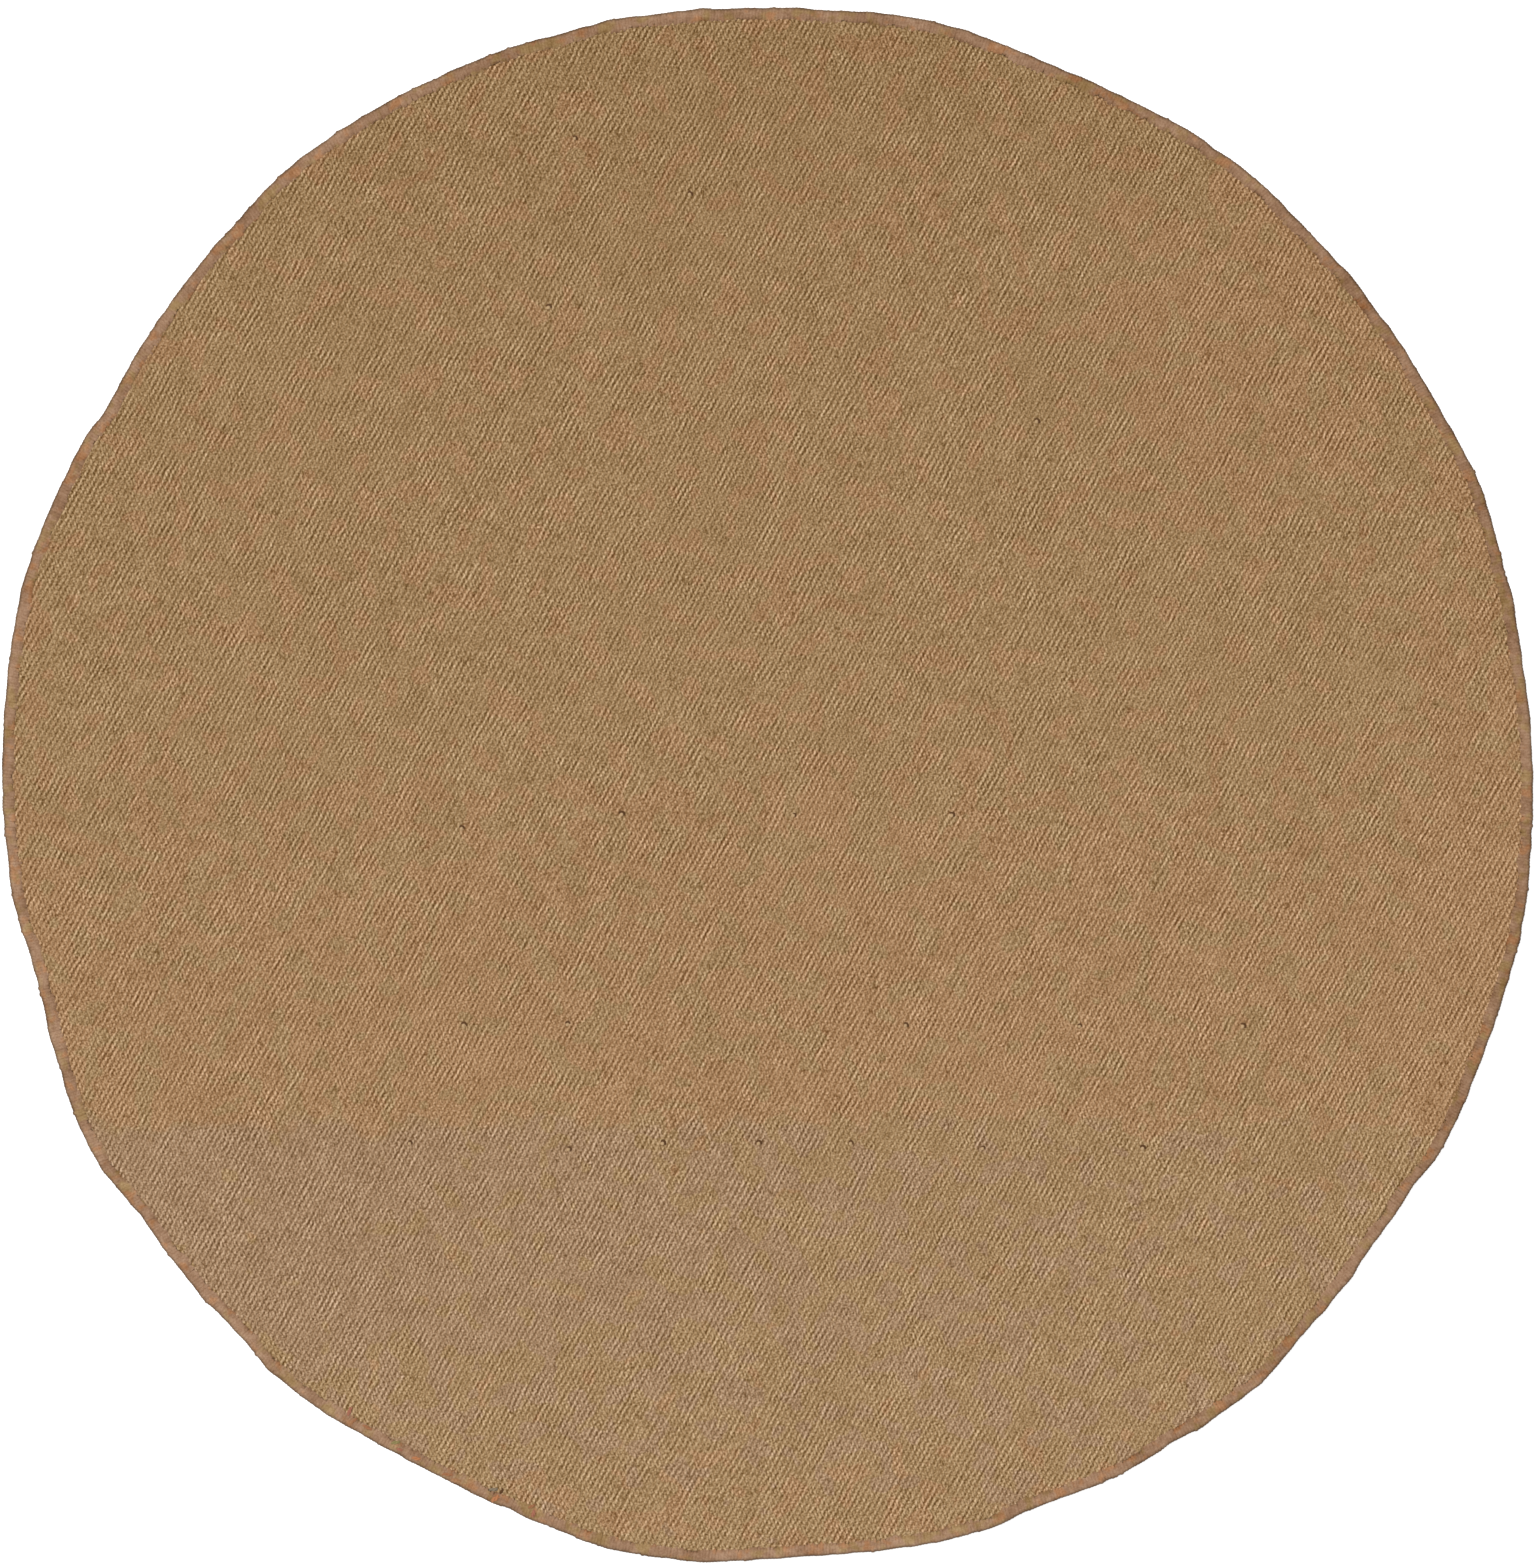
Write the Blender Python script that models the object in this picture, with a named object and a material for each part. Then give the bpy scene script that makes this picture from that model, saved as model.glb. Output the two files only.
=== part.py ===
"""Round jute rug: a flat disc of diagonal twill with yarn overcast round its cut rim.

Metres, +Z up. The underside rests on z = 0 with the origin below the middle of the rug's box.
Bearings are degrees counter-clockwise from +X, seen from above. An inset is the distance in
from the outermost line of the rim.
"""

import math
from typing import NamedTuple

import bmesh
import bpy
from mathutils import Vector

MM = 0.001

# The rim: an oval close to a circle, uneven where the cloth was cut and pulled in by the yarn.
MEAN_RADIUS = 750 * MM
OVAL_STRETCH = 6.4 * MM
LONG_AXIS_BEARING = 94
RIM_STEPS = 240

# The cloth: thickness over the ribs' crests, and the ribs' own pitch, depth and direction.
CLOTH_THICKNESS = 6.0 * MM
RIB_PITCH = 5.02 * MM
RIB_DEPTH = 0.8 * MM
RIB_BEARING = 61.3
RIB_SNAP = 0.4 * MM

# The cloth's rim is pressed thin where the yarn holds it.
PRESSED_BOTTOM = 1.5 * MM
PRESSED_TOP = 4.5 * MM
PRESSED_INSET = 10.9 * MM
FULL_INSET = 12.4 * MM

# The overcast yarn: its width on the cloth, height, and the thickness of its winding.
EDGE_WIDTH = 10.5 * MM
EDGE_HEIGHT = 6.4 * MM
YARN_LAYER = 1.2 * MM
EDGE_WALL = 1.7 * MM
EDGE_ROUNDING = 2.4 * MM
ROUNDING_STEPS = 4
LIP_ROUNDING = 0.6 * MM
SEWING_GAP = 0.3 * MM

# Base colours, linear: dry tan twill, and slightly redder edge yarn.
TWILL_TAN = (0.356, 0.220, 0.107)
YARN_TAN = (0.342, 0.195, 0.107)
JUTE_ROUGHNESS = 0.95
CREASE_ANGLE = math.radians(30)


class RimRow(NamedTuple):
    """A bulge or a nip of the rim: where it is, and how far it stands out of the oval."""

    bearing: float
    stands_out_mm: float


class Section(NamedTuple):
    """One corner of a profile that is carried round the rim."""

    inset: float
    height: float


RIM = [RimRow(*row) for row in (
    (9, -1.2), (16, 0.6), (23, 4.8), (29, 0.6), (45, 0.4), (51, 3.0), (68, -4.6), (78, 0.8),
    (87, -3.8), (92, -3.9), (99, -1.9), (102, 0.8), (105, -1.7), (109, 1.3), (128, 5.4),
    (134, -0.9), (145, -5.5), (150, -8.4), (155, -0.8), (165, 5.4), (177, 2.3), (188, 0.5),
    (195, -6.7), (209, 5.4), (215, -4.0), (226, -4.2), (231, 1.1), (243, -5.4), (250, -2.8),
    (259, 7.2), (263, 6.8), (273, -1.6), (286, 2.6), (290, -2.6), (298, 1.9), (301, 0.0),
    (309, 4.7), (314, -2.8), (322, -8.4), (328, -7.6), (331, -0.8), (340, -1.5), (350, 2.1),
    (357, 0.0),
)]


def clear_scene():
    """Remove every object that is already in the file."""
    for old in list(bpy.data.objects):
        bpy.data.objects.remove(old, do_unlink=True)


def stands_out(bearing):
    """Ease from each row of the rim to the next, so bulges and nips are rounded."""
    before, after = RIM[-1], RIM[0]
    for row, following in zip(RIM, RIM[1:]):
        if row.bearing <= bearing < following.bearing:
            before, after = row, following
            break
    span = (after.bearing - before.bearing) % 360
    share = ((bearing - before.bearing) % 360) / span
    ease = 0.5 - 0.5 * math.cos(math.pi * share)
    return MM * (before.stands_out_mm + (after.stands_out_mm - before.stands_out_mm) * ease)


def rim_outline():
    """The outermost line of the rug, one point for each step, centred in its own box."""
    points = []
    for step in range(RIM_STEPS):
        bearing = 360 * step / RIM_STEPS
        oval = OVAL_STRETCH * math.cos(math.radians(2 * (bearing - LONG_AXIS_BEARING)))
        radius = MEAN_RADIUS + oval + stands_out(bearing)
        turn = math.radians(bearing)
        points.append(Vector((radius * math.cos(turn), radius * math.sin(turn), 0)))
    xs = [point.x for point in points]
    ys = [point.y for point in points]
    middle = Vector((min(xs) + max(xs), min(ys) + max(ys), 0)) / 2
    return [point - middle for point in points]


def place_loop(verts, outline, section):
    """Move one loop of points to a section's inset and height."""
    for vert, point in zip(verts, outline):
        vert.co = point * (1 - section.inset / point.length)
        vert.co.z = section.height


def loop_edges(bm, verts):
    """The edges that join a loop's points."""
    return [bm.edges.get((verts[i - 1], verts[i])) for i in range(len(verts))]


def sweep(bm, outline, sections):
    """Carry a row of sections round the outline, and return its loops of points."""
    loops = [bmesh.ops.create_circle(bm, segments=len(outline), radius=1)["verts"]]
    for _ in sections[1:]:
        grown = bmesh.ops.extrude_edge_only(bm, edges=loop_edges(bm, loops[-1]))["geom"]
        partner = {}
        for new in grown:
            if isinstance(new, bmesh.types.BMVert):
                partner.update((rung.other_vert(new), new) for rung in new.link_edges)
        loops.append([partner[vert] for vert in loops[-1]])
    for verts, section in zip(loops, sections):
        place_loop(verts, outline, section)
    return loops


def rib_height(point):
    """The cloth's top: straight ribs with a crest at every pitch and a valley between."""
    across = math.radians(RIB_BEARING + 90)
    turns = (point.x * math.cos(across) + point.y * math.sin(across)) / RIB_PITCH
    crest = abs(2 * (turns - math.floor(turns)) - 1)
    return CLOTH_THICKNESS - RIB_DEPTH * (1 - crest)


def raise_ribs(bm, top):
    """Cut the top face along every crest and valley, then set its points to their heights."""
    across = math.radians(RIB_BEARING + 90)
    normal = Vector((math.cos(across), math.sin(across), 0))
    reach = MEAN_RADIUS + 4 * OVAL_STRETCH
    lines = math.ceil(reach / (RIB_PITCH / 2))
    faces = [top]
    for line in range(-lines, lines + 1):
        around = [part for face in faces for part in (*face.verts, *face.edges)]
        cut = bmesh.ops.bisect_plane(
            bm, geom=faces + list(dict.fromkeys(around)), dist=RIB_SNAP, use_snap_center=True,
            plane_co=normal * line * RIB_PITCH / 2, plane_no=normal)
        faces = [item for item in cut["geom"] if isinstance(item, bmesh.types.BMFace)]
    for vert in (vert for face in faces for vert in face.verts):
        vert.co.z = rib_height(vert.co)


def finish_object(bm, name, colour):
    """Turn a mesh in the making into a named object with its own material."""
    bmesh.ops.triangulate(bm, faces=bm.faces[:])
    bmesh.ops.recalc_face_normals(bm, faces=bm.faces[:])
    mesh = bpy.data.meshes.new(name)
    bm.to_mesh(mesh)
    bm.free()
    mesh.shade_smooth()
    mesh.set_sharp_from_angle(angle=CREASE_ANGLE)
    material = bpy.data.materials.new(name + "_jute")
    material.use_nodes = True
    shader = material.node_tree.nodes["Principled BSDF"]
    shader.inputs["Base Color"].default_value = (*colour, 1)
    shader.inputs["Roughness"].default_value = JUTE_ROUGHNESS
    shader.inputs["Metallic"].default_value = 0
    mesh.materials.append(material)
    bpy.context.scene.collection.objects.link(bpy.data.objects.new(name, mesh))


def make_woven_field(outline):
    """The disc of twill: flat below, ribbed above, pressed thin under the yarn at its rim."""
    cut_edge = EDGE_WALL + SEWING_GAP
    sections = [
        Section(FULL_INSET, 0),
        Section(PRESSED_INSET, PRESSED_BOTTOM),
        Section(cut_edge, PRESSED_BOTTOM),
        Section(cut_edge, PRESSED_TOP),
        Section(PRESSED_INSET, PRESSED_TOP),
        Section(FULL_INSET, CLOTH_THICKNESS),
    ]
    bm = bmesh.new()
    loops = sweep(bm, outline, sections)
    bm.faces.new(loops[0])
    raise_ribs(bm, bm.faces.new(loops[-1]))
    finish_object(bm, "woven_field", TWILL_TAN)


def rounded_rim():
    """The winding's outer side: half an ellipse from its top round to the floor."""
    half_height = EDGE_HEIGHT / 2
    sections = []
    for step in range(ROUNDING_STEPS + 1):
        turn = math.pi * (0.5 - step / ROUNDING_STEPS)
        inset = EDGE_ROUNDING * (1 - math.cos(turn))
        sections.append(Section(inset, half_height * (1 + math.sin(turn))))
    return sections


def make_overcast_edge(outline):
    """The ring of wound yarn: a rounded C that holds the cloth's rim from above and below."""
    lip_bottom = PRESSED_TOP + SEWING_GAP
    sections = [
        Section(EDGE_WIDTH, lip_bottom),
        Section(EDGE_WIDTH, EDGE_HEIGHT - LIP_ROUNDING),
        Section(EDGE_WIDTH - LIP_ROUNDING, EDGE_HEIGHT),
        *rounded_rim(),
        Section(EDGE_WIDTH, 0),
        Section(EDGE_WIDTH, YARN_LAYER),
        Section(EDGE_WALL, YARN_LAYER),
        Section(EDGE_WALL, lip_bottom),
    ]
    bm = bmesh.new()
    loops = sweep(bm, outline, sections)
    bmesh.ops.bridge_loops(bm, edges=loop_edges(bm, loops[-1]) + loop_edges(bm, loops[0]))
    finish_object(bm, "overcast_edge", YARN_TAN)


def main():
    """Build the rug's two pieces."""
    clear_scene()
    outline = rim_outline()
    make_woven_field(outline)
    make_overcast_edge(outline)


main()
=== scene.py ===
"""Round jute rug, dressed: diagonal twill, overcast yarn edge, tucked yarn ends, slubs and fibres.

Metres, +Z up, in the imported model's frame. Bearings are degrees counter-clockwise from +X, seen
from above, and turns are the same in radians. An inset is the distance in from the outermost line
of the rim. Tones and displayed colours are of 255.
"""

from __future__ import annotations

import logging
import math
from collections.abc import Callable, Sequence
from dataclasses import dataclass
from enum import Enum
from functools import cached_property, partial
from typing import NamedTuple

import bmesh
import bpy
import numpy as np
from mathutils import Matrix, Vector

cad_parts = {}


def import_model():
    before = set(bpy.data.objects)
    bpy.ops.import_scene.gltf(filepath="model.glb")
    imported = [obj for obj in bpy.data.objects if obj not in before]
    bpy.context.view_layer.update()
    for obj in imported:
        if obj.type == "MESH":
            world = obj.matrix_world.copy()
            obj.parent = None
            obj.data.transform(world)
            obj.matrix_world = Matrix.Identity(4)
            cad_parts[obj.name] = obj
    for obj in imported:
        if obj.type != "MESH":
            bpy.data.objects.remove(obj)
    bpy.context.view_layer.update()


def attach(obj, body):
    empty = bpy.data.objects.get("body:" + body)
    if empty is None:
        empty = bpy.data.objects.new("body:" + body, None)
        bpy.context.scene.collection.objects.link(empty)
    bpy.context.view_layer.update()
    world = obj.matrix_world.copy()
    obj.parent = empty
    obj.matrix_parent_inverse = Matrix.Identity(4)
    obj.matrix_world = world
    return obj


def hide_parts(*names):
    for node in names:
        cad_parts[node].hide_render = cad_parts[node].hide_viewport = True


LOG = logging.getLogger("jute_rug")
MM = 0.001
WEAVE_MAP = "weave"
BAKE_MAP = "OFBake"
YARN_MAP = "yarn"
DYE = "dye"
UP = Vector((0, 0, 1))
LUMA_OF_RED = 0.2126
LUMA_OF_BLUE = 0.0722
DARKEST_TONE = 3
NOISE_SWING = 4.0

BMesh = bmesh.types.BMesh
Socket = bpy.types.NodeSocket
Input = Socket | float | Sequence[float]
Colour = tuple[float, float, float]


class RimRow(NamedTuple):
    """A bulge or a nip of the rim: where it is, and how far it stands out of the oval."""

    bearing: float
    stands_out_mm: float


class Section(NamedTuple):
    """One corner of a profile that is carried round the rim."""

    inset: float
    height: float


class PhotoSpot(NamedTuple):
    """A place on the photograph, in its own pixels."""

    across: float
    down: float


class Slot(Enum):
    """The record's material slots."""

    TWILL = "jute_twill"
    YARN = "jute_yarn"


class Piece(Enum):
    """The names of the pieces made here."""

    FIELD = "twill_field"
    EDGE = "overcast_yarn"
    ENDS = "tucked_ends"
    KNOTS = "slub_knots"
    FIBRES = "loose_fibres"


class Dye(Enum):
    """The displayed colours of single strands, which the dye attribute numbers from 0."""

    STRAW = (186, 156, 118)
    TAN = (164, 131, 95)
    # A dark yarn end's colour, and also the colour of the painted shadow loops behind slub knots.
    DARK = (94, 64, 38)
    RED = (165, 108, 86)
    GREEN = (142, 130, 84)
    ORANGE = (182, 122, 82)
    RUST = (160, 110, 76)
    SLATE = (136, 122, 102)

    @property
    def number(self) -> int:
        """This dye's place in the row."""
        return list(Dye).index(self)


def linear(channel: float) -> float:
    """Turn one channel of a displayed colour into linear light, 0 to 1."""
    share = channel / 255
    return share / 12.92 if share <= 0.04045 else ((share + 0.055) / 1.055) ** 2.4


def smooth_step(value: np.ndarray, low: float, high: float) -> np.ndarray:
    """Ease from 0 at low to 1 at high."""
    share = np.clip((value - low) / (high - low), 0, 1)
    return share * share * (3 - 2 * share)


def place_at(turn: float, reach: float = 1.0, height: float = 0.0) -> Vector:
    """The place at a turn, a reach and a height, or with a turn alone its direction."""
    return Vector((reach * math.cos(turn), reach * math.sin(turn), height))


@dataclass(frozen=True)
class Rim:
    """The rug's outermost line: a near-round oval with the bulges and nips of a hand-cut disc."""

    mean_radius: float = 750 * MM
    oval_stretch: float = 6.4 * MM
    long_axis_bearing: float = 94
    steps: int = 240
    rows: tuple[RimRow, ...] = tuple(RimRow(*row) for row in (
        (9, -1.2), (16, 0.6), (23, 4.8), (29, 0.6), (45, 0.4), (51, 3.0), (68, -4.6), (78, 0.8),
        (87, -3.8), (92, -3.9), (99, -1.9), (102, 0.8), (105, -1.7), (109, 1.3), (128, 5.4),
        (134, -0.9), (145, -5.5), (150, -8.4), (155, -0.8), (165, 5.4), (177, 2.3), (188, 0.5),
        (195, -6.7), (209, 5.4), (215, -4.0), (226, -4.2), (231, 1.1), (243, -5.4),
        (250, -2.8), (259, 7.2), (263, 6.8), (273, -1.6), (286, 2.6), (290, -2.6), (298, 1.9),
        (301, 0.0), (309, 4.7), (314, -2.8), (322, -8.4), (328, -7.6), (331, -0.8),
        (340, -1.5), (350, 2.1), (357, 0.0),
    ))

    def stands_out(self, bearings: np.ndarray) -> np.ndarray:
        """Ease from each row of the rim to the next, so bulges and nips are rounded.

        Args:
            bearings: Degrees, 0 to 360.

        Returns:
            How far the rim stands out of the oval at each bearing, in metres.
        """
        at = np.array([row.bearing for row in self.rows])
        out = np.array([row.stands_out_mm for row in self.rows]) * MM
        before = np.searchsorted(at, bearings, side="right") - 1
        after = (before + 1) % len(at)
        share = ((bearings - at[before]) % 360) / ((at[after] - at[before]) % 360)
        return out[before] + (out[after] - out[before]) * (0.5 - 0.5 * np.cos(np.pi * share))

    @cached_property
    def outline(self) -> np.ndarray:
        """Work out the outermost line.

        Returns:
            One point for each step, centred in their own box.
        """
        bearings = 360 * np.arange(self.steps) / self.steps
        oval = self.oval_stretch * np.cos(np.radians(2 * (bearings - self.long_axis_bearing)))
        radii = self.mean_radius + oval + self.stands_out(bearings)
        turns = np.radians(bearings)
        points = np.column_stack((radii * np.cos(turns), radii * np.sin(turns)))
        return points - (points.min(axis=0) + points.max(axis=0)) / 2

    def radius(self, turns: np.ndarray) -> np.ndarray:
        """Find how far the outermost line is from the origin.

        Args:
            turns: Where to look.

        Returns:
            The distance at each turn.
        """
        own = np.arctan2(self.outline[:, 1], self.outline[:, 0]) % math.tau
        order = np.argsort(own)
        reach = np.hypot(*self.outline.T)[order]
        return np.interp(turns % math.tau, own[order], reach, period=math.tau)

    def inset(self, x: np.ndarray, y: np.ndarray) -> np.ndarray:
        """How far in from the outermost line each place lies."""
        return self.radius(np.arctan2(y, x)) - np.hypot(x, y)

    def sweep(self, bm: BMesh, sections: Sequence[Section]) -> list[list]:
        """Carry a row of sections round the rim.

        Args:
            bm: The mesh in the making.
            sections: The profile's corners, in order.

        Returns:
            One loop of points for each section.
        """
        loops = loops_in_row(bm, self.steps, len(sections))
        for verts, section in zip(loops, sections):
            for vert, (x, y) in zip(verts, self.outline):
                keep = 1 - section.inset / math.hypot(x, y)
                vert.co = (x * keep, y * keep, section.height)
        return loops


def loop_edges(bm: BMesh, verts: list) -> list:
    """The edges that join a loop's points."""
    return [bm.edges.get((verts[i - 1], verts[i])) for i in range(len(verts))]


def loops_in_row(bm: BMesh, points: int, count: int) -> list[list]:
    """Make a circle and extrude it again and again.

    Args:
        bm: The mesh in the making.
        points: How many points each loop has.
        count: How many loops to make.

    Returns:
        The loops' points, in the same order round each loop, still to be put in place.
    """
    loops = [bmesh.ops.create_circle(bm, segments=points, radius=1)["verts"]]
    for _ in range(count - 1):
        grown = bmesh.ops.extrude_edge_only(bm, edges=loop_edges(bm, loops[-1]))["geom"]
        partner = {}
        for new in grown:
            if isinstance(new, bmesh.types.BMVert):
                partner.update((rung.other_vert(new), new) for rung in new.link_edges)
        loops.append([partner[vert] for vert in loops[-1]])
    return loops


def cut_in_strips(bm: BMesh, faces: list, across: Vector, offsets: Sequence[float],
                  snap: float) -> list:
    """Cut faces along parallel lines, working over them from one side to the other.

    Args:
        bm: The mesh in the making.
        faces: The faces to cut.
        across: The direction square to the lines.
        offsets: The lines' places along that direction, rising.
        snap: A point nearer than this to a line moves onto it.

    Returns:
        Every face that the cuts leave.
    """
    waiting = sorted(((min(vert.co.dot(across) for vert in face.verts), order, face)
                      for order, face in enumerate(faces)), reverse=True)
    active: list = []
    done: list = []
    for offset in offsets:
        while waiting and waiting[-1][0] < offset:
            active.append(waiting.pop()[2])
        if not active:
            continue
        around = dict.fromkeys(part for face in active for part in (*face.verts, *face.edges))
        cut = bmesh.ops.bisect_plane(bm, geom=active + list(around), dist=snap, plane_no=across,
                                     plane_co=across * offset, use_snap_center=True)
        active = []
        for item in cut["geom"]:
            if isinstance(item, bmesh.types.BMFace):
                beyond = item.calc_center_median().dot(across) > offset
                (active if beyond else done).append(item)
    return done + active + [face for _, _, face in waiting]


def mesh_points(mesh: bpy.types.Mesh) -> np.ndarray:
    """Read a mesh's points.

    Args:
        mesh: The mesh.

    Returns:
        An array with a row for each point.
    """
    flat = np.empty(len(mesh.vertices) * 3)
    mesh.vertices.foreach_get("co", flat)
    return flat.reshape(-1, 3)


def set_mesh_points(mesh: bpy.types.Mesh, points: np.ndarray) -> None:
    """Move a mesh's points to the rows of an array."""
    mesh.vertices.foreach_set("co", points.ravel())
    mesh.update()


def corner_points(mesh: bpy.types.Mesh) -> np.ndarray:
    """Read which point stands at each corner of each face.

    Args:
        mesh: The mesh.

    Returns:
        The points' numbers, one for each corner.
    """
    numbers = np.empty(len(mesh.loops), dtype=np.int64)
    mesh.loops.foreach_get("vertex_index", numbers)
    return numbers


def write_map(mesh: bpy.types.Mesh, name: str, places: np.ndarray) -> None:
    """Add a UV map whose places are given for each face corner."""
    layer = mesh.uv_layers.new(name=name, do_init=False)
    layer.data.foreach_set("uv", places.astype(np.float32).ravel())


def finish_piece(bm: BMesh, name: str, crease: float = 80) -> bpy.types.Object:
    """Turn a mesh in the making into a smooth-shaded object in the scene.

    Args:
        bm: The mesh in the making, which is freed.
        name: The piece's name.
        crease: Edges sharper than this many degrees stay sharp.

    Returns:
        The new object, at the origin.
    """
    mesh = bpy.data.meshes.new(name)
    bm.to_mesh(mesh)
    bm.free()
    mesh.shade_smooth()
    mesh.set_sharp_from_angle(angle=math.radians(crease))
    piece = bpy.data.objects.new(name, mesh)
    bpy.context.scene.collection.objects.link(piece)
    return piece


class StrandWork:
    """A piece made of strands and nubs of jute, each with a dye of its own."""

    def __init__(self) -> None:
        """Start with no strands."""
        self.bm = bmesh.new()
        self.dyes: list[int] = []

    def strand(self, route: Callable[[float], tuple[Vector, float]], rings: int, sides: int,
               dye: Dye) -> None:
        """Add one closed strand.

        Args:
            route: Gives the middle line and the radius at each share of the strand's length.
            rings: How many rings of points the strand has.
            sides: How many sides it has.
            dye: Its colour.
        """
        middles, radii = zip(*(route(ring / (rings - 1)) for ring in range(rings)))
        loops = loops_in_row(self.bm, sides, rings)
        for number, (loop, middle, radius) in enumerate(zip(loops, middles, radii)):
            way = (middles[min(number + 1, rings - 1)] - middles[max(number - 1, 0)]).normalized()
            aside = way.cross(UP).normalized()
            rise = aside.cross(way)
            for place, vert in enumerate(loop):
                turn = math.tau * place / sides
                vert.co = middle + radius * (math.cos(turn) * aside + math.sin(turn) * rise)
        self.bm.faces.new(loops[0])
        self.bm.faces.new(loops[-1])
        self.dyes += [dye.number] * (rings * sides)

    def nub(self, lie: Matrix, dye: Dye) -> None:
        """Add one ball, turned, stretched and placed by a matrix."""
        made = bmesh.ops.create_icosphere(self.bm, subdivisions=2, radius=1, matrix=lie)
        self.dyes += [dye.number] * len(made["verts"])

    def finish(self, name: Piece) -> bpy.types.Object:
        """Turn the strands into a piece and number each point's dye.

        Args:
            name: The piece that they make up.

        Returns:
            The new object, at the origin.
        """
        bmesh.ops.recalc_face_normals(self.bm, faces=self.bm.faces[:])
        piece = finish_piece(self.bm, name.value)
        layer = piece.data.attributes.new(DYE, "FLOAT", "POINT")
        layer.data.foreach_set("value", np.array(self.dyes, dtype=np.float32))
        return piece


class Clouds(NamedTuple):
    """Soft noise: how fine and rough it is, how far it reaches, and where its pattern starts."""

    scale: float
    detail: float = 2.0
    roughness: float = 0.5
    reach: float = 1.0
    shift: tuple[float, float, float] = (0.0, 0.0, 0.0)
    stretch: tuple[float, float, float] = (1.0, 1.0, 1.0)


class Lean(NamedTuple):
    """An amount that is eased in from one place or value to another."""

    start: float
    end: float
    amount: float


class NodeBench:
    """Short calls that lay out one material's nodes."""

    def __init__(self, name: str) -> None:
        """Start a material that has its shader and output alone.

        Args:
            name: The material's name.
        """
        self.material = bpy.data.materials.new(name)
        self.material.use_nodes = True
        self.tree = self.material.node_tree
        self.shader = self.tree.nodes["Principled BSDF"]

    @cached_property
    def place(self) -> Socket:
        """Object coordinates."""
        return self.node("ShaderNodeTexCoord").outputs["Object"]

    def node(self, kind: str, *values: Input, **settings: object) -> bpy.types.Node:
        """Add a node.

        Args:
            kind: The node's type.
            values: What goes into its first inputs, in order.
            settings: Its own options.

        Returns:
            The new node.
        """
        made = self.tree.nodes.new(kind)
        for option, value in settings.items():
            setattr(made, option, value)
        for socket, value in zip(made.inputs, values):
            self.feed(socket, value)
        return made

    def feed(self, socket: Socket, value: Input) -> None:
        """Link an output to a socket, or set the socket's own value.

        Args:
            socket: The input.
            value: What goes into it.
        """
        if isinstance(value, Socket):
            self.tree.links.new(value, socket)
        else:
            socket.default_value = value

    def maths(self, operation: str, *values: Input) -> Socket:
        """One step of arithmetic on numbers."""
        return self.node("ShaderNodeMath", *values, operation=operation).outputs[0]

    def times(self, first: Input, second: Input) -> Socket:
        """One number multiplied by another."""
        return self.maths("MULTIPLY", first, second)

    def less(self, first: Input, second: Input) -> Socket:
        """One number with another taken away."""
        return self.maths("SUBTRACT", first, second)

    def total(self, first: Input, *others: Input) -> Socket:
        """The sum of several numbers."""
        for other in others:
            first = self.maths("ADD", first, other)
        return first

    def spread(self, value: Input, low: float, high: float, to_low: float, to_high: float,
               easing: str = "LINEAR") -> Socket:
        """Map a range of numbers to another, and hold it at the ends."""
        return self.node("ShaderNodeMapRange", value, low, high, to_low, to_high,
                         interpolation_type=easing).outputs[0]

    def eased(self, value: Input, lean: Lean) -> Socket:
        """A lean's amount, eased in between its start and its end."""
        return self.spread(value, lean.start, lean.end, 0.0, lean.amount, "SMOOTHSTEP")

    def vector(self, x: Input, y: Input, z: Input = 0.0) -> Socket:
        """Three numbers as one vector."""
        return self.node("ShaderNodeCombineXYZ", x, y, z).outputs[0]

    def apart(self, vector: Input) -> tuple[Socket, ...]:
        """A vector's three numbers."""
        return tuple(self.node("ShaderNodeSeparateXYZ", vector).outputs)

    def measure(self, operation: str, *vectors: Input) -> Socket:
        """A number worked out from vectors, such as a length."""
        return self.node("ShaderNodeVectorMath", *vectors, operation=operation).outputs["Value"]

    def clouds(self, look: Clouds, over: Input | None = None) -> Socket:
        """Lay soft noise over the surface.

        Args:
            look: What the noise is like.
            over: The coordinates that it follows, or none for Object coordinates.

        Returns:
            A number about 0 that mostly stays within minus and plus the noise's reach.
        """
        start = self.node("ShaderNodeVectorMath", self.place if over is None else over,
                          look.stretch, look.shift, operation="MULTIPLY_ADD").outputs[0]
        noise = self.node("ShaderNodeTexNoise", start, 0.0, look.scale, look.detail, look.roughness,
                          noise_dimensions="3D").outputs[0]
        return self.times(self.less(noise, 0.5), NOISE_SWING * look.reach)

    def lots(self, vector: Input, reach: float = 1.0) -> Socket:
        """An even random number from minus to plus reach for each distinct vector."""
        made = self.node("ShaderNodeTexWhiteNoise", vector, noise_dimensions="3D")
        return self.spread(made.outputs[0], 0.0, 1.0, -reach, reach)

    def ramp(self, factor: Input, stops: Sequence[tuple[float, Colour]],
             interpolation: str = "LINEAR") -> Socket:
        """Read a colour off a row of stops.

        Args:
            factor: Where along the row to read it.
            stops: The row's places, 0 to 1, with their colours.
            interpolation: How the stops run into each other.

        Returns:
            The colour.
        """
        made = self.node("ShaderNodeValToRGB", factor)
        made.color_ramp.interpolation = interpolation
        strip = made.color_ramp.elements
        while len(strip) < len(stops):
            strip.new(0.5)
        for element, (position, colour) in zip(strip, stops):
            element.position = position
            element.color = (*colour, 1.0)
        return made.outputs[0]

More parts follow.
